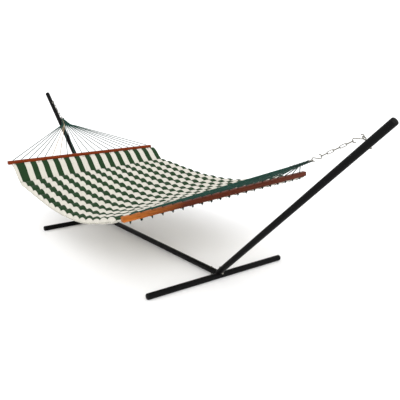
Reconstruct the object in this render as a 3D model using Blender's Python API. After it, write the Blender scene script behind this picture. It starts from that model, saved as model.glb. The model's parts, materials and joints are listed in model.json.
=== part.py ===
"""A quilted spreader-bar hammock on a tubular steel stand.

Frame: +X along the stand, +Y across it, +Z up, in metres. The origin is on the floor, midway between
the two feet. SIDES names the two ends: "right" is at +X and "left" at -X.
"""

import math

import bmesh
import bpy
from mathutils import Matrix, Vector

SIDES = {"left": -1, "right": 1}
GAP = 0.0003  # between pieces that touch
ACROSS = Vector((0.0, 1.0, 0.0))

# Stand tubes
TUBE_R = 0.0225
TUBE_WALL = 0.0018
TUBE_FACETS = 32
FLAT_TO_AXIS = TUBE_R * math.cos(math.pi / TUBE_FACETS)
BORE_R = TUBE_R - TUBE_WALL

# Feet, beam and uprights
FOOT_X = 0.9625
FOOT_TUBE_HALF = 0.608
KINK = Vector((0.947, 0.0, 0.035))  # where the axes of beam and upright meet, right side
UPRIGHT_RISE = math.radians(42.04)
UPRIGHT_LENGTH = 1.796
ELBOW_R = BORE_R - 0.0006
ELBOW_BORE = ELBOW_R - 0.002
ELBOW_FACETS = 20
BEAM_ARM = 0.115
UPRIGHT_ARM = 0.135

# End caps
CAP_SPIGOT = 0.022
CAP_RIM = 0.003
CAP_DOME = 0.009
CAP_SEGMENTS = 20
CAP_DOME_STEPS = 3

# Bolts through the tubes and the elbow arms
BOLT_R = 0.004
BOLT_HOLE_R = 0.0044
BOLT_HEX_R = 0.0075
BOLT_HEAD = 0.0055
NUT_HEIGHT = 0.0065
BOLT_TAIL = 0.004
BEAM_BOLT_AT = 0.078
UPRIGHT_BOLT_AT = 0.052
HOLE_CUT = 0.05  # half length of what cuts a hole through a tube

# Eye bolts that carry the chains, S-hooks, links and rings
EYE_AT = 1.615  # along the upright, from the kink
EYE_RING_R = 0.011
EYE_WIRE_R = 0.003
EYE_CENTRE = 0.0375  # from the upright's axis
EYE_NUT_HEX_R = 0.0058
EYE_NUT_HEIGHT = 0.005
EYE_TAIL = 0.003
HOOK_WIRE_R = 0.003
HOOK_BEND_R = 0.012
HOOK_REACH = 0.066  # from what it hangs on to what hangs on it
HOOK_FREE_ANGLE = math.radians(60)
HOOK_BEND_STEPS = 8
LINK_WIRE_R = 0.0025
LINK_BEND_R = 0.007
LINK_PITCH = 0.0453
LINK_BEND_STEPS = 5
LINKS = {"left": 3, "right": 5}
RING_R = 0.016
RING_WIRE_R = 0.003
RING_Z = 0.989
HOOK_CLEARANCE = 0.0008  # between wires that hang on each other
WIRE_FACETS = 8
LINK_FACETS = 6
RING_STEPS = 18

# Spreader bars: the bed hangs a little out of level, as it does with clews knotted by hand
BAR_HALF = 0.800
BAR_WIDTH = 0.038
BAR_HEIGHT = 0.034
BAR_EDGE = 0.004
BAR_PLACES = {
    "left": {"x": -1.305, "z": 0.645, "roll": math.radians(0.8), "yaw": 0.0},
    "right": {"x": 1.020, "z": 0.650, "roll": math.radians(3.6), "yaw": math.radians(0.8)},
}

# Clew cords and their woven head
CORDS = 20
CORD_R = 0.003
CORD_FACETS = 5
CORD_HOLE_R = 0.0044
CORD_HOLE_FACETS = 8
CORD_HOLE_MARGIN = 0.055
CORD_LEAD = 0.005  # from the bar's face to the bend above it
KNOT_R = 0.0065
KNOT_DROP = 0.0095  # knot centre below the bar
HEAD_START = 0.0362  # from where the hook holds the ring to where the weave begins
HEAD_LENGTH = 0.105
HEAD_CORDS_AT = 0.85  # share of the weave at which the cords leave it
HEAD_SECTIONS = (  # share of the length, half width, half thickness
    (0.0, 0.009, 0.008),
    (0.2, 0.016, 0.011),
    (0.6, 0.033, 0.010),
    (1.0, 0.050, 0.007),
)
HEAD_FACETS = 16
HEAD_SPREAD = 0.044

# Quilted bed: heights of its middle surface on the centre line, and its sideways slope, along X
BED_PROFILE = (
    (-1.281, 0.614, 0.014),
    (-1.235, 0.596, 0.018),
    (-1.180, 0.552, 0.028),
    (-1.130, 0.500, 0.036),
    (-0.960, 0.472, 0.050),
    (-0.590, 0.432, 0.064),
    (-0.185, 0.412, 0.068),
    (0.220, 0.440, 0.070),
    (0.490, 0.496, 0.070),
    (0.760, 0.566, 0.066),
    (0.992, 0.624, 0.052),
)
BED_HALF_THICKNESS = 0.017
BED_NEAR_HALF = 0.775
BED_FAR_HALF = 0.798
BED_WAIST = 0.045  # how far its near edge pulls in at mid length
BED_STATIONS = 28
BED_COLUMNS = 6

MATERIALS = {
    "black_steel": ((0.012, 0.012, 0.013), 0.38, 0.4),
    "black_plastic": ((0.018, 0.018, 0.018), 0.55, 0.0),
    "zinc_steel": ((0.56, 0.56, 0.53), 0.34, 1.0),
    "green_rope": ((0.030, 0.085, 0.060), 0.9, 0.0),
    "oiled_wood": ((0.33, 0.085, 0.025), 0.45, 0.0),
    "quilted_fabric": ((0.42, 0.47, 0.40), 0.95, 0.0),
}


def clear_scene():
    for found in list(bpy.data.objects):
        bpy.data.objects.remove(found, do_unlink=True)


def material(name):
    if name in bpy.data.materials:
        return bpy.data.materials[name]
    colour, roughness, metallic = MATERIALS[name]
    made = bpy.data.materials.new(name)
    made.use_nodes = True
    shader = made.node_tree.nodes["Principled BSDF"]
    shader.inputs["Base Color"].default_value = (*colour, 1.0)
    shader.inputs["Roughness"].default_value = roughness
    shader.inputs["Metallic"].default_value = metallic
    return made


def frame_matrix(origin, x_axis, z_axis):
    """A frame at origin with its Z along z_axis and its X as near x_axis as that allows."""
    z_dir = Vector(z_axis).normalized()
    y_dir = z_dir.cross(Vector(x_axis)).normalized()
    x_dir = y_dir.cross(z_dir)
    turned_frame = Matrix((x_dir, y_dir, z_dir)).transposed().to_4x4()
    return Matrix.Translation(origin) @ turned_frame


def add(name, points, faces, finish, place=None, smooth=True):
    """A closed mesh as an object, with its faces pointing out."""
    mesh = bpy.data.meshes.new(name)
    mesh.from_pydata([tuple(p) for p in points], [], faces)
    shape = bmesh.new()
    shape.from_mesh(mesh)
    bmesh.ops.recalc_face_normals(shape, faces=shape.faces)
    shape.to_mesh(mesh)
    shape.free()
    if smooth:
        mesh.shade_smooth()
        mesh.set_sharp_from_angle(angle=math.radians(35))
    mesh.materials.append(material(finish))
    made = bpy.data.objects.new(name, mesh)
    bpy.context.scene.collection.objects.link(made)
    if place is not None:
        made.matrix_world = place
    return made


def loft(rings, around=False):
    """Quads between rings of equal size; ends are filled, or joined when the rings run all around."""
    size = len(rings[0])
    points = [point for ring in rings for point in ring]
    faces = []
    spans = len(rings) if around else len(rings) - 1
    for ring in range(spans):
        after = (ring + 1) % len(rings)
        for k in range(size):
            nxt = (k + 1) % size
            faces.append((ring * size + k, ring * size + nxt, after * size + nxt, after * size + k))
    if not around:
        faces.append(tuple(range(size)))
        faces.append(tuple((len(rings) - 1) * size + k for k in range(size)))
    return points, faces


def section_rings(path, radii, facets, around=False, phase=0.0):
    """Rings of a round section along a path, each on the plane that halves its bend."""
    path = [Vector(p) for p in path]
    count = len(path)
    spans = [(path[(k + 1) % count] - path[k]).normalized() for k in range(count)]
    up = Vector((0.0, 0.0, 1.0)) if abs(spans[0].y) > 0.9 else ACROSS
    up = (up - up.dot(spans[0]) * spans[0]).normalized()
    rings = []
    for k in range(count):
        before = spans[k - 1] if (around or k > 0) else spans[0]
        after = spans[k] if (around or k < count - 1) else before
        if k > 0:
            along = spans[k - 1]
        else:
            along = before if around else after
            if around:
                up = after.rotation_difference(before) @ up
        normal = (before + after).normalized()
        side = along.cross(up)
        ring = []
        for step in range(facets):
            angle = phase + 2 * math.pi * step / facets
            offset = radii[k] * (math.cos(angle) * up + math.sin(angle) * side)
            ring.append(path[k] + offset - along * (normal.dot(offset) / normal.dot(along)))
        rings.append(ring)
        up = along.rotation_difference(after) @ up
    return rings


def round_bar(name, path, radius, finish, facets=WIRE_FACETS, around=False):
    """A solid round bar bent along a path, closed on itself where around is set."""
    rings = section_rings(path, [radius] * len(path), facets, around)
    return add(name, *loft(rings, around), finish)


def pipe(name, path, outer, inner, finish, facets=TUBE_FACETS, keep=slice(None)):
    """A hollow tube with open ends and a flat facet facing down, between the kept points of a path.

    The points that are not kept only set the planes on which the tube's ends are cut.
    """
    half_facet = math.pi / facets
    outside = section_rings(path, [outer] * len(path), facets, phase=half_facet)[keep]
    inside = section_rings(path, [inner] * len(path), facets, phase=half_facet)[keep]
    return add(name, *loft(outside + inside[::-1], around=True), finish)


def turned(name, profile, facets, finish, place):
    """A solid of revolution about Z from (radius, height) points that start and end on the axis."""
    rings = []
    for radius, height in profile[1:-1]:
        ring = []
        for step in range(facets):
            angle = 2 * math.pi * step / facets
            ring.append((radius * math.cos(angle), radius * math.sin(angle), height))
        rings.append(ring)
    points, faces = loft(rings)
    return add(name, points, faces, finish, place)


def rod(name, start, end, radius, finish, facets=12):
    return round_bar(name, [start, end], radius, finish, facets)


def hide(cutter):
    cutter.hide_render = True
    cutter.display_type = "WIRE"
    return cutter


def boolean(target, other, operation, self_crossing=False):
    step = target.modifiers.new(operation.lower(), "BOOLEAN")
    step.operation = operation
    step.solver = "EXACT"
    step.use_self = self_crossing
    step.object = hide(other)


def cut(target, *cutters):
    for cutter in cutters:
        boolean(target, cutter, "DIFFERENCE")


def joined(name, meshes, finish):
    """Several (points, faces) shapes as one object, for use as a cutter or as what is united."""
    points = []
    faces = []
    for more_points, more_faces in meshes:
        faces += [tuple(index + len(points) for index in face) for face in more_faces]
        points += list(more_points)
    return add(name, points, faces, finish)


# Stand


def upright_frame(side):
    """The upright's kink point, its direction, and the direction from it towards the hammock."""
    sign = SIDES[side]
    kink = Vector((sign * KINK.x, 0.0, KINK.z))
    along = Vector((sign * math.cos(UPRIGHT_RISE), 0.0, math.sin(UPRIGHT_RISE)))
    inward = Vector((-sign * math.sin(UPRIGHT_RISE), 0.0, math.cos(UPRIGHT_RISE)))
    return kink, along, inward


def mitred_pipe(name, kink, along, far_end, other_along):
    """A tube from the kink to far_end whose kink end is cut on the plane that halves the bend."""
    normal = (along - other_along).normalized()
    start = kink + along * GAP / normal.dot(along)
    path = [start + other_along, start, far_end]
    return pipe(name, path, TUBE_R, BORE_R, "black_steel", keep=slice(1, 3))


def end_cap(name, place):
    """A domed plug: a spigot inside the tube, a rim flush with it, and a low dome."""
    spigot_r = BORE_R - 0.0005
    rim_r = TUBE_R - 0.0002
    profile = [
        (0.0, -CAP_SPIGOT),
        (spigot_r, -CAP_SPIGOT),
        (spigot_r, GAP),
        (rim_r, GAP),
        (rim_r, CAP_RIM),
    ]
    for step in range(1, CAP_DOME_STEPS + 1):
        angle = math.pi / 2 * step / (CAP_DOME_STEPS + 0.6)
        profile.append((rim_r * math.cos(angle), CAP_RIM + CAP_DOME * math.sin(angle)))
    profile.append((0.0, CAP_RIM + CAP_DOME))
    return turned(name, profile, CAP_SEGMENTS, "black_plastic", place)


def make_foot(side):
    x = SIDES[side] * FOOT_X
    ends = [Vector((x, y, FLAT_TO_AXIS)) for y in (-FOOT_TUBE_HALF, FOOT_TUBE_HALF)]
    pipe(f"foot_tube_{side}", ends, TUBE_R, BORE_R, "black_steel")
    for end, place, out in (("front", ends[0], -1), ("back", ends[1], 1)):
        cap_frame = frame_matrix(place, (1.0, 0.0, 0.0), (0.0, out, 0.0))
        end_cap(f"foot_cap_{side}_{end}", cap_frame)


def foot_cutter(side):
    x = SIDES[side] * FOOT_X
    ends = [(x, y, FLAT_TO_AXIS) for y in (-HOLE_CUT, HOLE_CUT)]
    return hide(rod(f"cut_foot_{side}", *ends, TUBE_R + 2 * GAP, "black_steel", TUBE_FACETS))


def hex_prism(origin, axis, corner_r, low, high):
    """A hexagonal prism along axis, between two heights above origin."""
    frame_here = frame_matrix(origin, ACROSS, axis)
    rings = []
    for height in (low, high):
        ring = []
        for step in range(6):
            angle = math.pi * step / 3
            corner = Vector((corner_r * math.cos(angle), corner_r * math.sin(angle), height))
            ring.append(frame_here @ corner)
        rings.append(ring)
    return loft(rings)


def bolt_and_nut(name, crossing, head_side):
    """A hexagon bolt through a tube at crossing, its head towards head_side, and its nut behind."""
    seat = TUBE_R + GAP
    head_shape = hex_prism(crossing, head_side, BOLT_HEX_R, seat, seat + BOLT_HEAD)
    head = add(f"bolt_{name}", *head_shape, "zinc_steel", smooth=False)
    shank_end = -(seat + NUT_HEIGHT + BOLT_TAIL)
    shank_ends = (crossing + head_side * shank_end, crossing + head_side * (seat + BOLT_HEAD / 2))
    boolean(head, rod(f"add_shank_{name}", *shank_ends, BOLT_R, "zinc_steel"), "UNION")
    nut_shape = hex_prism(crossing, head_side, BOLT_HEX_R, -(seat + NUT_HEIGHT), -seat)
    nut = add(f"nut_{name}", *nut_shape, "zinc_steel", smooth=False)
    hole_ends = (crossing - head_side * HOLE_CUT, crossing + head_side * HOLE_CUT)
    cut(nut, rod(f"cut_nut_{name}", *hole_ends, BOLT_R + GAP, "zinc_steel"))
    return hide(rod(f"cut_bolt_{name}", *hole_ends, BOLT_HOLE_R, "zinc_steel"))


def make_eye_bolt(side):
    """The eye that the chain hangs on: a ring across the upright, a shank through it, and a nut."""
    kink, along, inward = upright_frame(side)
    axis_point = kink + along * EYE_AT
    centre = axis_point + inward * EYE_CENTRE
    ring_path = []
    for step in range(RING_STEPS):
        angle = 2 * math.pi * step / RING_STEPS
        ring_path.append(centre + EYE_RING_R * (math.cos(angle) * inward + math.sin(angle) * ACROSS))
    eye = round_bar(f"eye_bolt_{side}", ring_path, EYE_WIRE_R, "zinc_steel", around=True)
    tail = -(TUBE_R + GAP + EYE_NUT_HEIGHT + EYE_TAIL)
    shank_ends = (axis_point + inward * tail, centre - inward * (EYE_RING_R - 0.001))
    boolean(eye, rod(f"add_eye_shank_{side}", *shank_ends, EYE_WIRE_R, "zinc_steel"), "UNION")
    nut_seat = TUBE_R + GAP
    nut_shape = hex_prism(axis_point, -inward, EYE_NUT_HEX_R, nut_seat, nut_seat + EYE_NUT_HEIGHT)
    nut = add(f"eye_nut_{side}", *nut_shape, "zinc_steel", smooth=False)
    hole_ends = (axis_point - inward * HOLE_CUT, axis_point + inward * HOLE_CUT)
    cut(nut, rod(f"cut_eye_nut_{side}", *hole_ends, EYE_WIRE_R + GAP, "zinc_steel"))
    return hide(rod(f"cut_eye_{side}", *hole_ends, EYE_WIRE_R + 2 * GAP, "zinc_steel"))


def make_stand():
    beam_cutters = []
    for side, sign in SIDES.items():
        kink, along, inward = upright_frame(side)
        inboard = Vector((-sign, 0.0, 0.0))
        make_foot(side)
        foot = foot_cutter(side)
        elbow_path = [kink + inboard * BEAM_ARM, kink, kink + along * UPRIGHT_ARM]
        elbow = pipe(f"elbow_{side}", elbow_path, ELBOW_R, ELBOW_BORE, "black_steel", ELBOW_FACETS)
        upright_end = kink + along * UPRIGHT_LENGTH
        upright = mitred_pipe(f"upright_{side}", kink, along, upright_end, inboard)
        end_cap(f"upright_cap_{side}", frame_matrix(upright_end, ACROSS, along))
        beam_bolt = bolt_and_nut(f"beam_{side}", kink + inboard * BEAM_BOLT_AT, Vector((0.0, 0.0, 1.0)))
        upright_bolt = bolt_and_nut(f"upright_{side}", kink + along * UPRIGHT_BOLT_AT, inward)
        cut(elbow, foot, beam_bolt, upright_bolt)
        cut(upright, foot, upright_bolt, make_eye_bolt(side))
        beam_cutters += [foot, beam_bolt]
    make_beam(beam_cutters)


def make_beam(cutters):
    """The beam between the feet, with both ends cut on the planes that halve the bends."""
    ends = {}
    for side, sign in SIDES.items():
        kink, along, _ = upright_frame(side)
        inboard = Vector((-sign, 0.0, 0.0))
        normal = (inboard - along).normalized()
        start = kink + inboard * GAP / normal.dot(inboard)
        ends[side] = (start, start + along)
    path = [ends["left"][1], ends["left"][0], ends["right"][0], ends["right"][1]]
    cut(pipe("beam", path, TUBE_R, BORE_R, "black_steel", keep=slice(1, 3)), *cutters)


# Chains


def chain_line(side):
    """Where the chain hangs on its eye, where it holds the ring, and the direction between them."""
    kink, along, inward = upright_frame(side)
    top = kink + along * EYE_AT + inward * (EYE_CENTRE + EYE_RING_R)
    reach = 2 * HOOK_REACH + LINKS[side] * LINK_PITCH
    drop = top.z - RING_Z
    bottom = Vector((top.x - SIDES[side] * math.sqrt(reach**2 - drop**2), 0.0, RING_Z))
    return top, bottom, (bottom - top).normalized()


def s_hook(name, start, finish_apex, down, up):
    """An S of round wire between two bend ends: an open bend at each, and a slanted middle."""
    first = start + down * HOOK_BEND_R
    second = finish_apex - down * HOOK_BEND_R
    half_lean = math.acos(2 * HOOK_BEND_R / (second - first).length)
    path = []
    for centre, begin, end in (
        (first, HOOK_FREE_ANGLE, 2 * math.pi - half_lean),
        (second, math.pi - half_lean, -math.pi + HOOK_FREE_ANGLE),
    ):
        for step in range(HOOK_BEND_STEPS + 1):
            angle = begin + (end - begin) * step / HOOK_BEND_STEPS
            path.append(centre + HOOK_BEND_R * (math.cos(angle) * down + math.sin(angle) * up))
    return round_bar(name, path, HOOK_WIRE_R, "zinc_steel")


def chain_link(name, first, last, down, across):
    """A long link whose round ends pass first and last, lying in the plane of down and across."""
    upper = first + down * LINK_BEND_R
    lower = last - down * LINK_BEND_R
    path = []
    for centre, begin in ((upper, math.pi / 2), (lower, -math.pi / 2)):
        for step in range(LINK_BEND_STEPS + 1):
            angle = begin + math.pi * step / LINK_BEND_STEPS
            path.append(centre + LINK_BEND_R * (math.cos(angle) * down + math.sin(angle) * across))
    return round_bar(name, path, LINK_WIRE_R, "zinc_steel", LINK_FACETS, around=True)


def make_chain(side):
    """An S-hook on the eye, the links, and the S-hook that holds the hammock's ring."""
    top, bottom, down = chain_line(side)
    up = Vector((down.z, 0.0, -down.x)) * (1 if down.x < 0 else -1)
    eye_hold = EYE_WIRE_R + HOOK_WIRE_R + HOOK_CLEARANCE
    ring_hold = RING_WIRE_R + HOOK_WIRE_R + HOOK_CLEARANCE
    hook_hold = HOOK_WIRE_R + HOOK_CLEARANCE / 2
    link_hold = LINK_WIRE_R + HOOK_CLEARANCE / 2
    upper_end = top + down * HOOK_REACH
    lower_start = bottom - down * HOOK_REACH
    hook_ends = {
        "upper": (top - down * eye_hold, upper_end + down * hook_hold),
        "lower": (lower_start - down * hook_hold, bottom + down * ring_hold),
    }
    pieces = [s_hook(f"s_hook_{name}_{side}", *ends, down, up) for name, ends in hook_ends.items()]
    for k in range(LINKS[side]):
        first = upper_end + down * (k * LINK_PITCH - link_hold)
        last = upper_end + down * ((k + 1) * LINK_PITCH + link_hold)
        lying = ACROSS if k % 2 == 0 else up
        pieces.append(chain_link(f"chain_link_{side}_{k + 1}", first, last, down, lying))
    return pieces


# Hammock


def bar_matrix(side):
    """The bar's frame: its Y along the bar and its Z up through the cord holes."""
    place = BAR_PLACES[side]
    turn = Matrix.Rotation(-place["yaw"], 4, "Z") @ Matrix.Rotation(place["roll"], 4, "X")
    return Matrix.Translation((place["x"], 0.0, place["z"])) @ turn


def hole_positions():
    span = BAR_HALF - CORD_HOLE_MARGIN
    return [span * (2 * k / (CORDS - 1) - 1) for k in range(CORDS)]


def box_shape(half_x, half_y, half_z):
    corners = [(-half_x, -half_y), (half_x, -half_y), (half_x, half_y), (-half_x, half_y)]
    return loft([[(x, y, z) for x, y in corners] for z in (-half_z, half_z)])


def make_bar(side):
    place = bar_matrix(side)
    shape = box_shape(BAR_WIDTH / 2, BAR_HALF, BAR_HEIGHT / 2)
    bar = add(f"spreader_bar_{side}", *shape, "oiled_wood", place, smooth=False)
    edges = bar.modifiers.new("rounded edges", "BEVEL")
    edges.width = BAR_EDGE
    edges.segments = 2
    holes = []
    for y in hole_positions():
        ends = [place @ Vector((0.0, y, -BAR_HEIGHT)), place @ Vector((0.0, y, BAR_HEIGHT))]
        rings = section_rings(ends, [CORD_HOLE_R] * 2, CORD_HOLE_FACETS)
        holes.append(loft(rings))
    cut(bar, joined(f"cut_cord_holes_{side}", holes, "oiled_wood"))
    return bar


def clew_line(side):
    """The ring's contact point and the direction from it to the middle of the bar."""
    _, bottom, _ = chain_line(side)
    place = BAR_PLACES[side]
    towards = Vector((place["x"], 0.0, place["z"] + BAR_HEIGHT / 2)) - bottom
    return bottom, towards.normalized()


def make_ring(side):
    bottom, towards = clew_line(side)
    centre = bottom + towards * RING_R
    path = []
    for step in range(RING_STEPS):
        angle = 2 * math.pi * step / RING_STEPS
        path.append(centre + RING_R * (math.cos(angle) * towards + math.sin(angle) * ACROSS))
    return round_bar(f"clew_ring_{side}", path, RING_WIRE_R, "zinc_steel", around=True)


def make_clew(side):
    """The woven head at the ring and the cords that run from it through the bar to their knots."""
    bottom, towards = clew_line(side)
    thick = towards.cross(ACROSS)
    rings = []
    for share, half_width, half_thickness in HEAD_SECTIONS:
        middle = bottom + towards * (HEAD_START + share * HEAD_LENGTH)
        ring = []
        for step in range(HEAD_FACETS):
            angle = 2 * math.pi * step / HEAD_FACETS
            offset = half_width * math.cos(angle) * ACROSS + half_thickness * math.sin(angle) * thick
            ring.append(middle + offset)
        rings.append(ring)
    head = add(f"clew_{side}", *loft(rings), "green_rope")
    place = bar_matrix(side)
    start_at = bottom + towards * (HEAD_START + HEAD_CORDS_AT * HEAD_LENGTH)
    half = BAR_HEIGHT / 2
    cords = []
    for k, y in enumerate(hole_positions()):
        start = start_at + ACROSS * HEAD_SPREAD * (2 * k / (CORDS - 1) - 1)
        above = place @ Vector((0.0, y, half + CORD_LEAD))
        knot = place @ Vector((0.0, y, -half - KNOT_DROP))
        down = (knot - above).normalized()
        path = [start, above, knot - down * KNOT_R, knot, knot + down * KNOT_R]
        radii = [CORD_R, CORD_R, CORD_R, KNOT_R, CORD_R]
        cords.append(loft(section_rings(path, radii, CORD_FACETS)))
    boolean(head, joined(f"add_cords_{side}", cords, "green_rope"), "UNION", self_crossing=True)
    return head


def smooth_at(stations, x, column):
    """A smooth curve through the stations' values in one column, by Catmull-Rom spans."""
    last = len(stations) - 1
    k = 0
    while k < last - 1 and x > stations[k + 1][0]:
        k += 1
    x0, x1 = stations[k][0], stations[k + 1][0]
    width = x1 - x0
    share = min(max((x - x0) / width, 0.0), 1.0)

    def slope(index):
        low, high = max(index - 1, 0), min(index + 1, last)
        return (stations[high][column] - stations[low][column]) / (stations[high][0] - stations[low][0])

    a, b = stations[k][column], stations[k + 1][column]
    square, cube = share**2, share**3
    return (
        (2 * cube - 3 * square + 1) * a
        + (cube - 2 * square + share) * width * slope(k)
        + (3 * square - 2 * cube) * b
        + (cube - square) * width * slope(k + 1)
    )


def make_bed():
    """The quilted bed as a plain slab that follows the sag, the twist and the drawn-in near edge."""
    first, last = BED_PROFILE[0][0], BED_PROFILE[-1][0]
    right_yaw = math.tan(BAR_PLACES["right"]["yaw"])
    columns = [2 * k / BED_COLUMNS - 1 for k in range(BED_COLUMNS + 1)]
    rings = []
    for station in range(BED_STATIONS + 1):
        share = (1 - math.cos(math.pi * station / BED_STATIONS)) / 2
        x = first + (last - first) * share
        height, slope = smooth_at(BED_PROFILE, x, 1), smooth_at(BED_PROFILE, x, 2)
        near = BED_NEAR_HALF - BED_WAIST * math.sqrt(abs(math.sin(math.pi * share)))
        row = []
        for across in columns:
            y = across * (near if across < 0 else BED_FAR_HALF)
            row.append(Vector((x + right_yaw * share * y, y, height + slope * y)))
        lift = Vector((0.0, 0.0, BED_HALF_THICKNESS))
        rings.append([p + lift for p in row] + [p - lift for p in row[::-1]])
    return add("quilted_bed", *loft(rings), "quilted_fabric")


def pivot(name, point, pieces, hangs_on=None):
    """Parents pieces to an empty at a point of the axis that they swing about."""
    empty = bpy.data.objects.new(name, None)
    bpy.context.scene.collection.objects.link(empty)
    empty.location = point
    if hangs_on is not None:
        empty.parent = hangs_on
        empty.matrix_parent_inverse = Matrix.Translation(hangs_on["at"]).inverted()
    empty["at"] = point
    for piece in pieces:
        piece.parent = empty
        piece.matrix_parent_inverse = Matrix.Translation(point).inverted()
    return empty


clear_scene()
make_stand()
hook_left, ring_left, _ = chain_line("left")
_, ring_right, _ = chain_line("right")
hammock = [make(side) for side in SIDES for make in (make_ring, make_bar, make_clew)] + [make_bed()]
swing_pivot = pivot("swing_pivot", hook_left, make_chain("left"))
tip_pivot = pivot("tip_pivot", ring_left, hammock, swing_pivot)
pivot("chain_pivot", ring_right, make_chain("right"), tip_pivot)
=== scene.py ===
"""Looks of the quilted hammock on its steel stand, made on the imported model.

The camera comes first, then the soft and roped pieces that replace their plain solids, then finer
copies of the hard pieces, then the floor and the light. Lengths are in metres.
"""

import json
import math

import bmesh
import bpy
import numpy as np
from mathutils import Matrix, Vector


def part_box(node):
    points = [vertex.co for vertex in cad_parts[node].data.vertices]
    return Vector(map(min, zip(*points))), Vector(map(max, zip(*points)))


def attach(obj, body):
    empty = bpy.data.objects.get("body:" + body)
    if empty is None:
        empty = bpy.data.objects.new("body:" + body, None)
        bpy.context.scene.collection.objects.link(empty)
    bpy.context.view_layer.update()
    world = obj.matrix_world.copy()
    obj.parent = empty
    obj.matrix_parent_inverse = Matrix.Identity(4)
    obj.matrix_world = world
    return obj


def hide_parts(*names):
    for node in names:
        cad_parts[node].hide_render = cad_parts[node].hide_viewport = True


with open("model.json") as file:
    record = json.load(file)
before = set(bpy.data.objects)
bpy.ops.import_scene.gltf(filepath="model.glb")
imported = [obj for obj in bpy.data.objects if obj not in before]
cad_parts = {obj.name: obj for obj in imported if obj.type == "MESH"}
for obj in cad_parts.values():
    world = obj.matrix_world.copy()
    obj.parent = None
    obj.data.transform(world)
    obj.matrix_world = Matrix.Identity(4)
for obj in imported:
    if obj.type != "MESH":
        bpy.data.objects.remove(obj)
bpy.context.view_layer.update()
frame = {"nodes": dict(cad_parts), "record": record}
SIDES = {"left": -1, "right": 1}
BODY_OF = {node: body for body, nodes in frame["record"]["behaviour"]["bodies"].items() for node in nodes}
SLOT_OF = {entry["node"]: entry["material_slot"] for entry in frame["record"]["subparts"]}

# Bars and cord holes, as in the model
BAR_TURN = {"left": (math.radians(0.8), 0.0), "right": (math.radians(3.6), math.radians(0.8))}  # roll, yaw
BAR_HALF_HEIGHT = 0.017
HOLE_SPAN = 0.745  # from the middle of a bar to its outermost hole
CORDS = 20
RING_R = 0.016
RING_WIRE_R = 0.003

# Cords
CORD_R = 0.0034
CORD_LEAD = 0.005  # height above the bar where a cord turns down
HEAD_START = 0.014  # of the weave, from the ring's centre
HEAD_LENGTH = 0.112
HEAD_SPREAD = 0.044
HEAD_NECK = 0.010
WEFTS = 8
BEIGE_CORDS = (5, 6)  # of the left fan, from its near end
KNOT_CORD_R = 0.0026
KNOT_SIZE = 0.0024
WEFT_R = 0.0027
RAIL_R = 0.0030
WRAPS = 11
WRAP_R = 0.0021
WRAP_GAP = 0.0019  # from the ring's wire to the middle of a wrap
TIE_R = 0.0020
TIE_POST_R = 0.0052  # of the bend around a cord's knot

# Quilt
FIRST_SEAM = -1.115
ROW_PITCH = 0.128
ROWS = 15
STRIPE_PITCH = 0.1142
FIRST_GREEN = -0.683  # centre of the green stripe nearest to the near edge
NEAR_GREEN_STARTS = -0.654  # inner side of that stripe, which is cut wider where the quilt is
NEAR_EDGE = -0.730  # of the quilt where it is narrowest
FAR_OVERHANG = 0.030  # of the far hem past the slab
SEAM_SINK = 0.004
CREST_ABOVE = 0.033
CREST_BELOW = 0.0105
SLEEVE_R = 0.009
LEFT_LIFT = 0.016  # of the left end, where its sleeve is drawn up against the bar
LEFT_LIFT_LENGTH = 0.065
EDGE_TAPER = 0.024
SCALLOP = 0.006
LAYER = 0.0012  # half of the thickness where both layers are sewn flat
ROD_R = 0.0062
ROD_INSET = 0.004
BINDING_R = 0.0034

# Camera, floor and light
CAMERA_TURN = (53.52, 14.06, -0.28)  # azimuth, elevation and roll, in degrees
CAMERA_PLACE = (3.6687, -2.1732, 1.4626)
SENSOR_MM = 36.0
LENS_MM = 45.43
FLOOR_HALF = 40.0
SKY_STRENGTH = 1.15
SUN_STRENGTH = 1.7
SUN_ANGLE = math.radians(38)
SUN_DIRECTION = (1.5, -0.9, 1.0)

WIRE_SWELL = 0.00008  # that makes up for what smoothing takes off round wire

AROUND = 2 * math.pi


# Camera


def make_camera():
    """Where it stands, where it points, and how far it is rolled."""
    azimuth, elevation, roll = (math.radians(a) for a in CAMERA_TURN)
    back = Vector(
        (
            math.sin(azimuth) * math.cos(elevation),
            -math.cos(azimuth) * math.cos(elevation),
            math.sin(elevation),
        )
    )
    right = Vector((0.0, 0.0, 1.0)).cross(back).normalized()
    up = back.cross(right)
    turned_right = math.cos(roll) * right + math.sin(roll) * up
    turned_up = math.cos(roll) * up - math.sin(roll) * right
    lens = bpy.data.cameras.new("camera")
    lens.sensor_width = SENSOR_MM
    lens.lens = LENS_MM
    camera = bpy.data.objects.new("camera", lens)
    bpy.context.scene.collection.objects.link(camera)
    turn = Matrix((turned_right, turned_up, back)).transposed().to_4x4()
    camera.matrix_world = Matrix.Translation(CAMERA_PLACE) @ turn
    bpy.context.scene.camera = camera


# Materials


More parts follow.
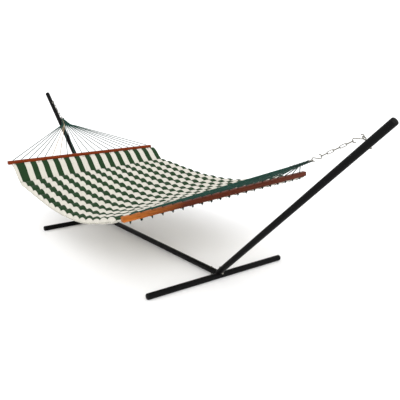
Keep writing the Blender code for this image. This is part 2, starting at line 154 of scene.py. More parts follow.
class Look:
    """A material under construction. In add(), capitalised names are sockets, others are settings."""

    def __init__(self, name, **sockets):
        self.made = bpy.data.materials.new(name)
        self.made.use_nodes = True
        self.tree = self.made.node_tree
        self.shader = self.tree.nodes["Principled BSDF"]
        self.fill(self.shader, sockets)

    def fill(self, node, values):
        for key, value in values.items():
            if not key[0].isupper():
                setattr(node, key, value)
                continue
            socket = node.inputs[key.replace("_", " ")]
            self.plug(socket, value)

    def plug(self, socket, value):
        if isinstance(value, bpy.types.NodeSocket):
            self.tree.links.new(value, socket)
        elif isinstance(value, tuple) and len(value) == 3 and socket.type == "RGBA":
            socket.default_value = (*value, 1.0)
        else:
            socket.default_value = value

    def add(self, kind, **values):
        node = self.tree.nodes.new("ShaderNode" + kind)
        self.fill(node, values)
        return node

    def compute(self, operation, first, second=0.0):
        node = self.tree.nodes.new("ShaderNodeMath")
        node.operation = operation
        self.plug(node.inputs[0], first)
        self.plug(node.inputs[1], second)
        return node.outputs[0]

    def mix(self, share, first, second, blend="MIX"):
        node = self.tree.nodes.new("ShaderNodeMix")
        node.data_type = "RGBA"
        node.blend_type = blend
        self.plug(node.inputs[0], share)
        self.plug(node.inputs[6], first)
        self.plug(node.inputs[7], second)
        return node.outputs[2]

    def remap(self, value, low, high, to_low=0.0, to_high=1.0):
        node = self.add("MapRange", Value=value, From_Min=low, From_Max=high, To_Min=to_low, To_Max=to_high)
        return node.outputs[0]

    def noise(self, place, scale, detail=3.0, roughness=0.5):
        return self.add("TexNoise", Vector=place, Scale=scale, Detail=detail, Roughness=roughness).outputs[0]

    def place(self, stretch=(1.0, 1.0, 1.0)):
        """Positions on the object, stretched along each axis."""
        where = self.add("TexCoord").outputs["Object"]
        return self.add("Mapping", Vector=where, Scale=stretch).outputs[0]

    def uv(self):
        """The two coordinates that the mesh carries."""
        parts = self.add("SeparateXYZ", Vector=self.add("UVMap", uv_map="own").outputs[0])
        return parts.outputs[0], parts.outputs[1]

    def wave(self, value, pitch, phase=0.0):
        turns = self.compute("MULTIPLY", value, AROUND / pitch)
        return self.compute("SINE", self.compute("ADD", turns, phase))

    def bump(self, height, distance, strength=1.0):
        """Adds a bump on top of those already made."""
        node = self.add("Bump", Height=height, Distance=distance, Strength=strength)
        below = self.shader.inputs["Normal"]
        if below.is_linked:
            self.tree.links.new(below.links[0].from_socket, node.inputs["Normal"])
        self.tree.links.new(node.outputs[0], below)


def fabric_look(name, striped):
    """A plain weave, in lengthwise stripes or in one cream, with painted shade along its sewn seams."""
    look = Look(name, Roughness=0.9, Sheen_Weight=0.05, Sheen_Roughness=0.4, Specular_IOR_Level=0.15)
    across, along = look.uv()
    where = look.place()
    cream = look.mix(look.noise(where, 5.0), (0.54, 0.512, 0.450), (0.61, 0.585, 0.525))
    colour = cream
    if striped:
        wobble = look.remap(look.noise(where, 60.0), 0.0, 1.0, -0.0012, 0.0012)
        phase = math.pi / 2 - AROUND * FIRST_GREEN / STRIPE_PITCH
        band = look.wave(look.compute("ADD", across, wobble), STRIPE_PITCH, phase)
        green = look.mix(look.noise(where, 9.0), (0.007, 0.027, 0.008), (0.015, 0.047, 0.015))
        colour = look.mix(look.remap(band, -0.06, 0.06), cream, green)
    thread = look.compute("MULTIPLY", look.wave(across, 0.0016), look.wave(along, 0.0016))
    slub = look.noise(look.place((1.0, 14.0, 14.0)), 40.0, 4.0)
    colour = look.mix(look.remap(slub, 0.35, 0.7, 0.0, 0.22), colour, (0.25, 0.27, 0.24), "MULTIPLY")
    seam = look.add("Attribute", attribute_name="seam").outputs["Fac"]
    # painted shade: the weave is darkened towards each seam, in the grooves between the puffs
    seam_painted_shade = look.remap(seam, 0.0, 0.0045, 0.55, 0.0)
    colour = look.mix(seam_painted_shade, colour, (0.10, 0.12, 0.10), "MULTIPLY")
    dash = look.compute("GREATER_THAN", look.wave(across, 0.0065), -0.2)
    stitch = look.compute("MULTIPLY", dash, look.compute("LESS_THAN", seam, 0.0007))
    colour = look.mix(stitch, colour, (0.62, 0.60, 0.52))
    look.fill(look.shader, {"Base_Color": colour})
    look.bump(thread, 0.00025, 0.6)
    look.bump(look.noise(where, 130.0, 5.0), 0.0009, 0.5)
    look.bump(stitch, 0.0006)
    return look.made


def rope_look(name, shaded, lit_crest):
    """A braided cord: two sets of strands that cross, with loose fibres, painted shade between the strands
    and painted light on their crests.
    """
    look = Look(name, Roughness=0.8, Sheen_Weight=0.06, Sheen_Roughness=0.4, Specular_IOR_Level=0.15)
    around, along = look.uv()
    turns = look.compute("MULTIPLY", around, 4.0)
    steps = look.compute("MULTIPLY", along, 1 / 0.011)
    right_hand = look.wave(look.compute("ADD", turns, steps), 1.0)
    left_hand = look.wave(look.compute("SUBTRACT", turns, steps), 1.0)
    strand = look.compute("MAXIMUM", right_hand, left_hand)
    fibre = look.noise(look.place(), 900.0, 3.0)
    # painted shade and painted light: the first colour in the grooves between strands, the second on their
    # crests, varied by fibre
    painted_crest_light_and_fibre_tone = look.compute("MULTIPLY", look.remap(strand, -0.4, 1.0), look.remap(fibre, 0.3, 0.7, 0.6, 1.0))
    look.fill(look.shader, {"Base_Color": look.mix(painted_crest_light_and_fibre_tone, shaded, lit_crest)})
    look.bump(strand, 0.0009)
    look.bump(fibre, 0.0004, 0.6)
    return look.made


def wood_look(name, painted_light_until=None):
    """Oiled reddish hardwood, grain along the bar. If the last argument is given, the wood is lighter orange
    up to that Y and darkened beyond it: painted light on the near end and painted shade past it.
    """
    look = Look(name, Roughness=0.55, Specular_IOR_Level=0.1)
    along_bar = look.place((1.0, 0.06, 1.0))
    grain = look.noise(along_bar, 85.0, 6.0, 0.65)
    figure = look.noise(look.place((1.0, 0.12, 1.0)), 14.0, 3.0)
    pores = look.noise(look.place((1.0, 0.03, 1.0)), 420.0, 2.0)
    base = look.mix(look.remap(grain, 0.3, 0.7), (0.085, 0.010, 0.0012), (0.25, 0.038, 0.004))
    base = look.mix(look.remap(figure, 0.35, 0.65, 0.0, 0.55), base, (0.15, 0.022, 0.003))
    if painted_light_until is not None:
        # painted light and painted shade: lighter orange wood before the given Y, darkened wood after it
        y = look.add("SeparateXYZ", Vector=look.place()).outputs[1]
        edge = look.compute("ADD", y, look.remap(figure, 0.3, 0.7, -0.08, 0.08))
        painted_lit_wood = look.mix(look.remap(grain, 0.3, 0.7), (0.22, 0.055, 0.007), (0.44, 0.135, 0.020))
        painted_shade_wood = look.mix(0.65, base, (0.030, 0.008, 0.004))
        base = look.mix(look.remap(edge, painted_light_until - 0.15, painted_light_until + 0.15), painted_lit_wood, painted_shade_wood)
    base = look.mix(look.remap(pores, 0.60, 0.68, 0.0, 0.7), base, (0.02, 0.005, 0.002))
    look.fill(look.shader, {"Base_Color": base, "Roughness": look.remap(grain, 0.3, 0.7, 0.62, 0.48)})
    look.bump(grain, 0.0006, 0.5)
    look.bump(pores, 0.0004, 0.4)
    return look.made


def coated_look():
    """Black powder coat: a fine pebbled skin, with a little dust and rubbed patches."""
    look = Look("powder_coat", Specular_IOR_Level=0.06)
    where = look.place()
    dust = look.noise(where, 3.0, 5.0, 0.6)
    rub = look.noise(where, 55.0, 4.0, 0.7)
    base = look.mix(look.remap(dust, 0.35, 0.75, 0.0, 0.8), (0.0022, 0.0022, 0.0024), (0.005, 0.005, 0.005))
    base = look.mix(look.remap(rub, 0.66, 0.74, 0.0, 0.5), base, (0.016, 0.016, 0.016))
    look.fill(look.shader, {"Base_Color": base, "Roughness": look.remap(dust, 0.3, 0.7, 0.34, 0.46)})
    look.bump(look.noise(where, 650.0, 2.0), 0.0004, 0.35)
    return look.made


def plastic_look():
    """Moulded black plastic with a fine satin texture."""
    look = Look("moulded_plastic", Specular_IOR_Level=0.08)
    where = look.place()
    tone = look.noise(where, 70.0, 3.0)
    look.fill(look.shader, {"Base_Color": look.mix(tone, (0.003, 0.003, 0.003), (0.008, 0.008, 0.008))})
    look.fill(look.shader, {"Roughness": look.remap(tone, 0.2, 0.8, 0.38, 0.58)})
    look.bump(look.noise(where, 1400.0, 2.0), 0.00025, 0.5)
    return look.made


def zinc_look():
    """Zinc-plated wire: mottled, a little yellowed, with duller and brighter patches."""
    look = Look("zinc_plate", Metallic=0.92)
    where = look.place()
    mottle = look.noise(where, 160.0, 5.0, 0.65)
    stain = look.noise(where, 40.0, 3.0)
    base = look.mix(look.remap(mottle, 0.35, 0.65), (0.13, 0.125, 0.105), (0.34, 0.33, 0.29))
    base = look.mix(look.remap(stain, 0.55, 0.75, 0.0, 0.6), base, (0.26, 0.20, 0.11))
    look.fill(look.shader, {"Base_Color": base, "Roughness": look.remap(mottle, 0.3, 0.7, 0.52, 0.30)})
    look.bump(mottle, 0.0003, 0.5)
    return look.made


# Mesh helpers


def new_piece(name, points, faces, uvs, looks, smooth=True, seam=None, face_looks=None):
    """An object from arrays: its corners' own coordinates, and for fabric the distance to a seam."""
    mesh = bpy.data.meshes.new(name)
    mesh.from_pydata(np.asarray(points).tolist(), [], np.asarray(faces).tolist())
    for look in looks:
        mesh.materials.append(look)
    corners = np.empty(len(mesh.loops), dtype=np.int32)
    mesh.loops.foreach_get("vertex_index", corners)
    layer = mesh.uv_layers.new(name="own")
    layer.data.foreach_set("uv", np.asarray(uvs, dtype=np.float32)[corners].ravel())
    if seam is not None:
        mesh.attributes.new("seam", "FLOAT", "POINT").data.foreach_set("value", seam.astype(np.float32))
    if face_looks is not None:
        mesh.polygons.foreach_set("material_index", face_looks.astype(np.int32))
    if smooth:
        mesh.shade_smooth()
    made = bpy.data.objects.new(name, mesh)
    bpy.context.scene.collection.objects.link(made)
    return made


def grid_faces(rows, columns, start=0, flip=False, closed=False):
    """Quads over a grid of points; closed joins its last column to its first."""
    spans = columns if closed else columns - 1
    row, column = np.meshgrid(np.arange(rows - 1), np.arange(spans), indexing="ij")
    after = (column + 1) % columns
    corners = [row * columns + column, row * columns + after]
    corners += [(row + 1) * columns + after, (row + 1) * columns + column]
    faces = np.stack([c.ravel() for c in corners], axis=1) + start
    return faces[:, ::-1] if flip else faces


def spline(points, count):
    """A smooth curve of count points through the given ones, closed if the last repeats the first."""
    points = np.asarray(points, dtype=float)
    knots = np.concatenate([[0.0], np.cumsum(np.linalg.norm(np.diff(points, axis=0), axis=1))])
    slopes = np.gradient(points, knots, axis=0)
    if np.allclose(points[0], points[-1]):
        ends = (points[1] - points[-2]) / (knots[1] + knots[-1] - knots[-2])
        slopes[0] = slopes[-1] = ends
    return hermite(knots, points, slopes, np.linspace(0.0, knots[-1], count))


def hermite(knots, values, slopes, at):
    k = np.clip(np.searchsorted(knots, at) - 1, 0, len(knots) - 2)
    width = (knots[k + 1] - knots[k])[:, None]
    t = (at - knots[k])[:, None] / width
    a, b, da, db = values[k], values[k + 1], slopes[k] * width, slopes[k + 1] * width
    return (
        (2 * t**3 - 3 * t**2 + 1) * a
        + (t**3 - 2 * t**2 + t) * da
        + (3 * t**2 - 2 * t**3) * b
        + (t**3 - t**2) * db
    )


class Bundle:
    """Round tubes gathered into one mesh."""

    def __init__(self, facets=10):
        self.facets = facets
        self.points = []
        self.faces = []
        self.uvs = []
        self.count = 0

    def tube(self, path, radius, closed=False):
        """A tube along a path, with rounded ends unless it is closed. Its seam repeats a column."""
        path = np.asarray(path, dtype=float)
        if closed:
            path = np.vstack([path, path[:1]])
        radius = np.broadcast_to(np.asarray(radius, dtype=float), (len(path),)).copy()
        if not closed:
            path, radius = self.rounded(path, radius)
        along = np.gradient(path, axis=0)
        if closed:
            along[0] = along[-1] = path[1] - path[-2]
        along /= np.linalg.norm(along, axis=1)[:, None]
        up = np.cross(along[0], (0.31, 0.87, 0.38))
        up /= np.linalg.norm(up)
        run = np.concatenate([[0.0], np.cumsum(np.linalg.norm(np.diff(path, axis=0), axis=1))])
        angles = np.linspace(0.0, AROUND, self.facets + 1)
        ups = []
        for direction in along:
            up = up - direction * up.dot(direction)
            up = up / np.linalg.norm(up)
            ups.append(up)
        twist = 0.0
        if closed:
            side = np.cross(along[0], ups[0])
            twist = math.atan2(ups[-1].dot(side), ups[-1].dot(ups[0]))
        for k, (centre, direction, up) in enumerate(zip(path, along, ups)):
            turned = angles[:, None] - twist * k / (len(path) - 1)
            side = np.cross(direction, up)
            self.points.append(centre + radius[k] * (np.cos(turned) * up + np.sin(turned) * side))
            self.uvs.append(np.stack([angles / AROUND, np.full_like(angles, run[k])], axis=1))
        self.faces.append(grid_faces(len(path), self.facets + 1, self.count))
        self.count += len(path) * (self.facets + 1)

    def rounded(self, path, radius):
        """Adds the points that close both ends of a tube in domes."""
        starts, ends = [], []
        head = (path[0] - path[1]) / np.linalg.norm(path[0] - path[1])
        tail = (path[-1] - path[-2]) / np.linalg.norm(path[-1] - path[-2])
        for angle in np.radians((90.0, 60.0, 30.0)):
            out, narrow = math.sin(angle), max(math.cos(angle), 1e-3)
            starts.append((path[0] + head * radius[0] * out, radius[0] * narrow))
            ends.insert(0, (path[-1] + tail * radius[-1] * out, radius[-1] * narrow))
        new_path = np.vstack([[p for p, _ in starts], path, [p for p, _ in ends]])
        new_radius = np.concatenate([[r for _, r in starts], radius, [r for _, r in ends]])
        return new_path, new_radius

    def piece(self, name, look):
        made = new_piece(name, np.vstack(self.points), np.vstack(self.faces), np.vstack(self.uvs), [look])
        shape = bmesh.new()
        shape.from_mesh(made.data)
        bmesh.ops.remove_doubles(shape, verts=shape.verts, dist=1e-6)
        bmesh.ops.recalc_face_normals(shape, faces=shape.faces)
        shape.to_mesh(made.data)
        shape.free()
        return made


def refined(node, look, levels=0, swell=0.0):
    """A copy of a hard CAD node with merged corners and smooth round faces, which replaces it."""
    mesh = bpy.data.meshes.new(f"fine_{node}")
    shape = bmesh.new()
    shape.from_mesh(frame["nodes"][node].data)
    bmesh.ops.remove_doubles(shape, verts=shape.verts, dist=1e-6)
    if levels:
        bmesh.ops.join_triangles(
            shape,
            faces=shape.faces,
            angle_face_threshold=math.radians(80),
            angle_shape_threshold=math.radians(80),
        )
    shape.to_mesh(mesh)
    shape.free()
    for name in [a.name for a in mesh.attributes if a.name == "custom_normal"]:
        mesh.attributes.remove(mesh.attributes[name])
    mesh.materials.clear()
    mesh.materials.append(look)
    mesh.shade_smooth()
    mesh.set_sharp_from_angle(angle=math.radians(180 if levels else 38))
    made = bpy.data.objects.new(f"fine_{node}", mesh)
    bpy.context.scene.collection.objects.link(made)
    if levels:
        finer = made.modifiers.new("finer", "SUBSURF")
        finer.levels = finer.render_levels = levels
        fuller = made.modifiers.new("fuller", "DISPLACE")
        fuller.strength = swell
        fuller.mid_level = 0.0
    place(made, BODY_OF[node], SLOT_OF[node])
    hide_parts(node)
    return made


def place(piece, body, slot):
    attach(piece, body)
    return piece


# Quilt


class BedSurface:
    """The middle surface of the CAD slab, as smooth curves along its near edge, centre and far edge."""

    def __init__(self):
        mesh = frame["nodes"]["quilted_bed"].data
        points = np.empty(len(mesh.vertices) * 3)
        mesh.vertices.foreach_get("co", points)
        points = np.unique(points.reshape(-1, 3).round(5), axis=0)
        edge = 0.9 * points[:, 1].max()
        columns = (points[:, 1] < -edge, abs(points[:, 1]) < 1e-3, points[:, 1] > edge)
        self.near, self.centre, self.far = (self.middle(points[chosen]) for chosen in columns)
        outward = self.far[:, 1] - self.centre[:, 1]
        self.far = self.far + (self.far - self.centre) * (FAR_OVERHANG / outward)[:, None]
        self.knots = self.centre[:, 0]

    def middle(self, column):
        """Halfway between the slab's upper and lower points, which share their X."""
        stations = np.unique(column[:, 0].round(4))
        return np.array([column[abs(column[:, 0] - x) < 2e-4].mean(axis=0) for x in stations])

    def curve(self, line, at):
        return hermite(self.knots, line, np.gradient(line, self.knots, axis=0), at)

    def at(self, along, across):
        """Points for every along (X on the centre line) and every across (-1 near to 1 far)."""
        lines = (self.near, self.centre, self.far)
        near, centre, far = (self.curve(line, along)[:, None, :] for line in lines)
        share = across[None, :, None]
        made = centre + np.where(share < 0, -share * (near - centre), share * (far - centre))
        made[:, :, 2] += LEFT_LIFT * np.exp(-((along - self.knots[0]) / LEFT_LIFT_LENGTH) ** 2)[:, None]
        return made


def row_stations():
    """X of every line of quilt points, close together at the seams, and how far each is along its row."""
    first, last = bed.knots[0], bed.knots[-1]
    last_seam = FIRST_SEAM + ROWS * ROW_PITCH
    sleeve = SLEEVE_R * (1 - np.cos(np.linspace(0.0, math.pi, 11)))
    left_panel = np.linspace(first + sleeve[-1] + 0.002, FIRST_SEAM, 18)[:-1]
    share = (1 - np.cos(np.linspace(0.0, math.pi, 15))) / 2
    rows = [FIRST_SEAM + ROW_PITCH * (k + share[:-1]) for k in range(ROWS)]
    right_panel = np.linspace(last_seam, last - sleeve[-1] - 0.002, 22)
    return np.concatenate([first + sleeve, left_panel, *rows, right_panel, last - sleeve[::-1]])


def puff(x):
    """How full the quilt is along its length: 0 on a seam, 1 on a crest, 0 on both end panels."""
    turn = (x - FIRST_SEAM) / ROW_PITCH
    inside = (turn > 0) & (turn < ROWS)
    lobe = np.abs(np.sin(math.pi * turn)) ** 0.58
    return np.where(inside, lobe, 0.0)


def make_quilt(top_look, under_look):
    """Two layers sewn together along the seams, puffed between them, with rod sleeves at the ends."""
    rng = np.random.default_rng(7)
    first, last = bed.knots[0], bed.knots[-1]
    last_seam = FIRST_SEAM + ROWS * ROW_PITCH
    x = row_stations()
    taper = np.linspace(0.0, 1.0, 8)[:-1] ** 1.6 * EDGE_TAPER / BED_HALF
    inner = np.linspace(-1 + EDGE_TAPER / BED_HALF, 1 - EDGE_TAPER / BED_HALF, 230)
    y = np.concatenate([taper - 1, inner, 1 - taper[::-1]])
    middle = bed.at(x, y)
    lengthwise = np.gradient(middle, x, axis=0)
    crosswise = np.gradient(middle, y, axis=1)
    normal = np.cross(lengthwise, crosswise)
    normal /= np.linalg.norm(normal, axis=2)[..., None]
    flat = middle[:, :, 1]
    stretch = (NEAR_EDGE - NEAR_GREEN_STARTS) / (middle[:, :1, 1] - NEAR_GREEN_STARTS)
    flat = np.where(flat < NEAR_GREEN_STARTS, NEAR_GREEN_STARTS + (flat - NEAR_GREEN_STARTS) * stretch, flat)
    full = puff(x)[:, None]
    turn = (x[:, None] - FIRST_SEAM) / ROW_PITCH
    row = np.clip(np.floor(turn), -1, ROWS).astype(int)
    seam_index = np.clip(np.round(turn), 0, ROWS).astype(int)
    stripe = np.cos(AROUND * (flat - FIRST_GREEN) / STRIPE_PITCH)

    waves = rng.uniform(0.0, AROUND, (ROWS + 2, 3))
    heights = 1.0 + 0.05 * rng.standard_normal(ROWS + 2)[row + 1]
    for term, pitch in enumerate((0.61, 0.27, 0.17)):
        heights = heights + 0.035 * np.sin(AROUND * flat / pitch + waves[row + 1, term])
    heights = heights * (1 - 0.07 * stripe)

    phases = rng.uniform(0.0, AROUND, (ROWS + 1, 4))
    pucker = np.zeros_like(heights)
    for term, pitch in enumerate((0.053, 0.037, 0.028, 0.0235)):
        drift = 0.4 * np.sin(AROUND * flat / 0.4 + phases[seam_index, (term + 1) % 4])
        pucker = pucker + np.sin(AROUND * flat / pitch + phases[seam_index, term] + drift)
    from_seam = np.abs(x[:, None] - FIRST_SEAM - ROW_PITCH * seam_index)
    pucker *= 0.0011 * np.exp(-((from_seam / 0.034) ** 2)) * np.minimum(from_seam / 0.006, 1.0)

    from_edge = np.minimum(1 - y, 1 + y)[None, :] * BED_HALF
    bulge = np.clip(from_edge / EDGE_TAPER, 0.0, 1.0)
    rim = np.sqrt(np.clip(1 - (1 - bulge) ** 2, 0.0, 1.0))
    ends = np.minimum(x - first, last - x)[:, None]
    tube = np.sqrt(np.clip(SLEEVE_R**2 - (ends - SLEEVE_R) ** 2, 0.0, None))
    panel = 0.0042 + 0.0016 * np.sin(math.pi * np.clip((ends - 2 * SLEEVE_R) / 0.08, 0.0, 1.0))
    panel = panel * np.clip(from_seam / 0.03, 0.0, 1.0) ** 0.6
    panel = np.where(ends < 2 * SLEEVE_R, np.maximum(tube, LAYER * (ends > SLEEVE_R)), panel)
    outside = (x[:, None] <= FIRST_SEAM) | (x[:, None] >= last_seam)

    top = np.where(outside, LAYER + panel, LAYER + CREST_ABOVE * full * heights) * (0.12 + 0.88 * rim)
    under = np.where(outside, LAYER + panel, LAYER + CREST_BELOW * full * heights) * (0.12 + 0.88 * rim)
    sink = SEAM_SINK * np.where(outside, np.exp(-from_seam / 0.02), 1.0)
    push = np.sign(y)[None, :] * SCALLOP * (full - 0.45) * (1 - bulge**0.7) * (~outside)
    sideways = np.array([0.0, 1.0, 0.0])
    upper = middle + normal * (top + pucker - sink)[..., None] + push[..., None] * sideways
    lower = middle - normal * (under - pucker + sink)[..., None] + push[..., None] * sideways

    rows, columns = len(x), len(y)
    points = np.vstack([upper.reshape(-1, 3), lower.reshape(-1, 3)])
    size = rows * columns
    faces = [grid_faces(rows, columns), grid_faces(rows, columns, size, flip=True)]
    index = np.arange(size).reshape(rows, columns)
    rim_loop = np.concatenate([index[0, :], index[1:, -1], index[-1, -2::-1], index[-2:0:-1, 0]])
    following = np.roll(rim_loop, -1)
    faces.append(np.stack([following, rim_loop, rim_loop + size, following + size], axis=1))
    uv = np.stack(np.broadcast_arrays(flat, x[:, None]), axis=-1).reshape(-1, 2)
    sewn = np.minimum(from_seam, np.abs(ends - 2 * SLEEVE_R - 0.004))
    sewn = np.broadcast_to(sewn, (rows, columns)).ravel()
    which = np.concatenate([np.full(len(f), k) for k, f in zip((0, 1, 0), faces)])
    quilt = new_piece(
        "quilt", points, np.vstack(faces), np.vstack([uv, uv]), [top_look, under_look],
        seam=np.concatenate([sewn, sewn]), face_looks=which,
    )
    shape = bmesh.new()
    shape.from_mesh(quilt.data)
    bmesh.ops.recalc_face_normals(shape, faces=shape.faces)
    shape.to_mesh(quilt.data)
    shape.free()
    place(quilt, "hammock", "quilted_fabric")
    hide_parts("quilted_bed")
    edge_lines = {"near": (upper[:, 0] + lower[:, 0]) / 2, "far": (upper[:, -1] + lower[:, -1]) / 2}
    return edge_lines


def make_bindings(edge_lines, look):
    """A rolled tape sewn over the two long edges."""
    for name, line in edge_lines.items():
        bundle = Bundle(12)
        bundle.tube(line[6:-6], BINDING_R)
        place(bundle.piece(f"binding_{name}", look), "hammock", "quilted_fabric")


def sleeve_centre(side, y):
    """The middle of the rod sleeve at a share of the bed's width."""
    x = bed.knots[0] + SLEEVE_R if side == "left" else bed.knots[-1] - SLEEVE_R
    return bed.at(np.array([x]), np.array([y]))[0, 0]


def make_rod(side, look):
    """The dowel inside the sleeve, which shows at both ends."""
    path = np.array([sleeve_centre(side, y) for y in np.linspace(-1.0, 1.0, 9)])
    inset = (path[-1] - path[0]) / np.linalg.norm(path[-1] - path[0]) * ROD_INSET
    path[0] += inset
    path[-1] -= inset
    bundle = Bundle(16)
    bundle.tube(path, ROD_R)
    place(bundle.piece(f"sleeve_rod_{side}", look), "hammock", "oiled_wood")


# Cords


def bar_frame(side):
    low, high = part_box(f"spreader_bar_{side}")
    roll, yaw = BAR_TURN[side]
    turn = Matrix.Rotation(-yaw, 4, "Z") @ Matrix.Rotation(roll, 4, "X")
    return Matrix.Translation((low + high) / 2) @ turn


def head_frame(side):
    """The ring's centre, the direction to the bar, and the normal of the clew's fan."""
    low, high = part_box(f"clew_ring_{side}")
    centre = (low + high) / 2
    bar_top = bar_frame(side) @ Vector((0.0, 0.0, BAR_HALF_HEIGHT))
    towards = (bar_top - centre).normalized()
    return centre, towards, towards.cross(Vector((0.0, 1.0, 0.0)))


def head_width(share):
    """Half the width of the woven head at a share of its length."""
    return HEAD_NECK + (HEAD_SPREAD - HEAD_NECK) * share**1.15


def in_head(head, along, across, off):
    centre, towards, normal = head
    return centre + towards * along + Vector((0.0, across, 0.0)) + normal * off


def knot_path(neck, down, turn):
    """An overhand knot below neck, and its short tail."""
    side = down.orthogonal().normalized()
    side = Matrix.Rotation(turn, 3, down) @ side
    other = down.cross(side)
    points = []
    for t in np.linspace(0.35, AROUND - 0.35, 30):
        a = KNOT_SIZE * (math.sin(t) + 2 * math.sin(2 * t))
        b = KNOT_SIZE * (math.cos(t) - 2 * math.cos(2 * t))
        c = 0.0030 * math.sin(3 * t)
        points.append(neck + down * (0.0088 + a) + side * b + other * c)
    tail = [points[-1] + down * 0.007 + side * 0.002, points[-1] + down * 0.015 + other * 0.003]
    return [neck] + points + tail


def make_cords(side, looks):
    """The fan of cords from the woven head, through the bar, to the knots under it."""
    rng = np.random.default_rng(11 + SIDES[side])
    head = head_frame(side)
    frame_here = bar_frame(side)
    bundles = {"green": Bundle(10), "beige": Bundle(10)}
    knots = Bundle(8)
    for k in range(CORDS):
        share = 2 * k / (CORDS - 1) - 1
        layer = 1 if k % 2 else -1
        above = frame_here @ Vector((0.0, HOLE_SPAN * share, BAR_HALF_HEIGHT + CORD_LEAD))
        neck = frame_here @ Vector((0.0, HOLE_SPAN * share, -BAR_HALF_HEIGHT - 0.001))
        down = (neck - above).normalized()
        inner = [
            in_head(head, HEAD_START + HEAD_LENGTH * s, share * head_width(s), layer * (0.0033 - 0.002 * s))
            for s in (0.0, 0.15, 0.35, 0.6, 0.85, 1.0)
        ]
        leave = inner[-1]
        run = above - leave
        straight = [leave + run * s for s in (0.08, 0.3, 0.6, 0.9, 0.985)]
        bend = [above + down * 0.0008, above + down * 0.004, neck]
        path = spline([tuple(p) for p in inner + straight + bend], 90)
        radius = np.full(len(path), CORD_R)
        narrow = np.linspace(0.55, 1.0, 12)
        radius[:12] *= narrow
        colour = "beige" if side == "left" and k in BEIGE_CORDS else "green"
        bundles[colour].tube(path, radius)
        knot = knot_path(neck, down, rng.uniform(0.0, AROUND))
        knots.tube(spline([tuple(p) for p in knot], 60), KNOT_CORD_R)
    for colour, bundle in bundles.items():
        if bundle.count:
            piece = place(bundle.piece(f"cords_{colour}_{side}", looks[colour]), "hammock", "green_rope")
            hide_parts(f"clew_{side}")
    place(knots.piece(f"knots_{side}", looks["shaded"]), "hammock", "green_rope")
    make_weave(side, head, looks)
    make_ties(side, frame_here, looks)


def make_weave(side, head, looks):
    """The cord woven over and under the fan's neck, and the turns that hold it to the ring."""
    bundle = Bundle(8)
    for weft in range(WEFTS):
        share = (weft + 0.6) / WEFTS
        width = head_width(share) + 0.003
        path = []
        for step in range(41):
            s = 2 * step / 40 - 1
            off = 0.0052 * math.cos(math.pi * (step / 4 + weft))
            path.append(tuple(in_head(head, HEAD_START + HEAD_LENGTH * share, s * width, off)))
        bundle.tube(spline(path, 90), WEFT_R)
    for edge in (-1, 1):
        rail = [
            tuple(in_head(head, HEAD_START + HEAD_LENGTH * s, edge * (head_width(s) + 0.002), 0.0))
            for s in np.linspace(0.0, 1.0, 9)
        ]
        bundle.tube(spline(rail, 30), RAIL_R)
    centre, towards, normal = head
    for wrap in range(WRAPS):
        angle = math.radians(-78 + 156 * wrap / (WRAPS - 1))
        out = towards * math.cos(angle) + Vector((0.0, math.sin(angle), 0.0))
        loop = []
        for turn in np.linspace(0.0, AROUND, 17)[:-1]:
            reach = RING_R + (RING_WIRE_R + WRAP_GAP) * math.cos(turn)
            loop.append(tuple(centre + out * reach + normal * (RING_WIRE_R + WRAP_GAP) * math.sin(turn)))
        bundle.tube(loop, WRAP_R, closed=True)
    place(bundle.piece(f"weave_{side}", looks["shaded"]), "hammock", "green_rope")


def make_ties(side, frame_here, looks):
    """Short loops that hold the rod sleeve to the cords under the bar."""
    bundle = Bundle(8)
    for k in range(CORDS):
        y = HOLE_SPAN * (2 * k / (CORDS - 1) - 1)
        post = np.array(frame_here @ Vector((0.0, y, -BAR_HALF_HEIGHT - 0.0035)))
        rod = sleeve_centre(side, y / BED_HALF)
        reach = rod - post
        reach[1] = 0.0
        length = np.linalg.norm(reach)
        out = reach / length
        over = np.array([-out[2], 0.0, out[0]])
        path = []
        for angle in np.radians(np.linspace(90, 270, 9)):
            path.append(post + TIE_POST_R * (math.cos(angle) * out + math.sin(angle) * over))
        for angle in np.radians(np.linspace(-90, 90, 13)):
            path.append(post + reach + (SLEEVE_R + TIE_R) * (math.cos(angle) * out + math.sin(angle) * over))
        path = np.array(path)
        path[:, 1] += 0.003 * np.sin(np.linspace(0.0, AROUND, len(path)))
        closed = spline(np.vstack([path, path[:1]]), 45)[:-1]
        bundle.tube(closed, TIE_R, closed=True)
    place(bundle.piece(f"ties_{side}", looks["shaded"]), "hammock", "green_rope")


# Floor and light


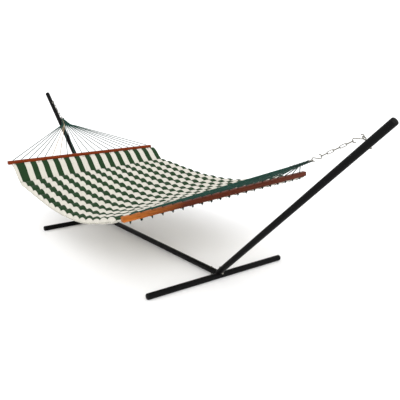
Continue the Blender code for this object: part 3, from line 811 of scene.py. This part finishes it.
def make_floor():
    look = Look("pale_floor", Roughness=0.9, Specular_IOR_Level=0.0)
    tone = look.noise(look.place(), 1.5)
    look.fill(look.shader, {"Base_Color": look.mix(tone, (0.94, 0.94, 0.945), (0.95, 0.95, 0.955))})
    mesh = bpy.data.meshes.new("floor")
    half = FLOOR_HALF
    corners = [(-half, -half, 0.0), (half, -half, 0.0), (half, half, 0.0), (-half, half, 0.0)]
    mesh.from_pydata(corners, [], [(0, 1, 2, 3)])
    mesh.materials.append(look.made)
    floor = bpy.data.objects.new("floor", mesh)
    bpy.context.scene.collection.objects.link(floor)


def make_light():
    """A white sky and one soft sun, with the plain view transform."""
    bpy.context.scene.view_settings.view_transform = "Standard"
    world = bpy.data.worlds.new("studio")
    world.use_nodes = True
    sky = world.node_tree.nodes["Background"]
    sky.inputs["Color"].default_value = (1.0, 1.0, 1.0, 1.0)
    sky.inputs["Strength"].default_value = SKY_STRENGTH
    bpy.context.scene.world = world
    lamp = bpy.data.lights.new("key", "SUN")
    lamp.energy = SUN_STRENGTH
    lamp.angle = SUN_ANGLE
    sun = bpy.data.objects.new("key", lamp)
    sun.rotation_euler = Vector(SUN_DIRECTION).to_track_quat("Z", "Y").to_euler()
    bpy.context.scene.collection.objects.link(sun)


make_camera()
bed = BedSurface()
BED_HALF = float(bed.far[0, 1])

steel, plastic, zinc = coated_look(), plastic_look(), zinc_look()
# the right bar and its rod get painted light on the near end and painted shade beyond
woods = {"left": wood_look("oiled_hardwood"), "right": wood_look("oiled_hardwood_painted_light_end", -0.52)}
ropes = {
    "green": rope_look("green_cord", (0.003, 0.016, 0.012), (0.009, 0.072, 0.050)),
    # painted shade: the green cord made darker, for the knots, weave and ties
    "shaded": rope_look("green_cord_painted_shade", (0.002, 0.008, 0.006), (0.006, 0.032, 0.024)),
    "beige": rope_look("beige_cord", (0.16, 0.12, 0.07), (0.62, 0.52, 0.36)),
}
edges = make_quilt(fabric_look("striped_weave", True), fabric_look("cream_weave", False))
make_bindings(edges, fabric_look("binding_weave", False))
for each_side in SIDES:
    make_rod(each_side, woods[each_side])
    make_cords(each_side, ropes)
for each_node, slot_name in SLOT_OF.items():
    if slot_name == "black_steel":
        refined(each_node, steel)
    elif slot_name == "black_plastic":
        refined(each_node, plastic)
    elif slot_name == "oiled_wood":
        refined(each_node, woods[each_node.split("_")[-1]])
    elif slot_name == "zinc_steel" and each_node.startswith(("s_hook", "chain_link", "clew_ring")):
        refined(each_node, zinc, 1, WIRE_SWELL)
    elif slot_name == "zinc_steel":
        refined(each_node, zinc)
make_floor()
make_light()
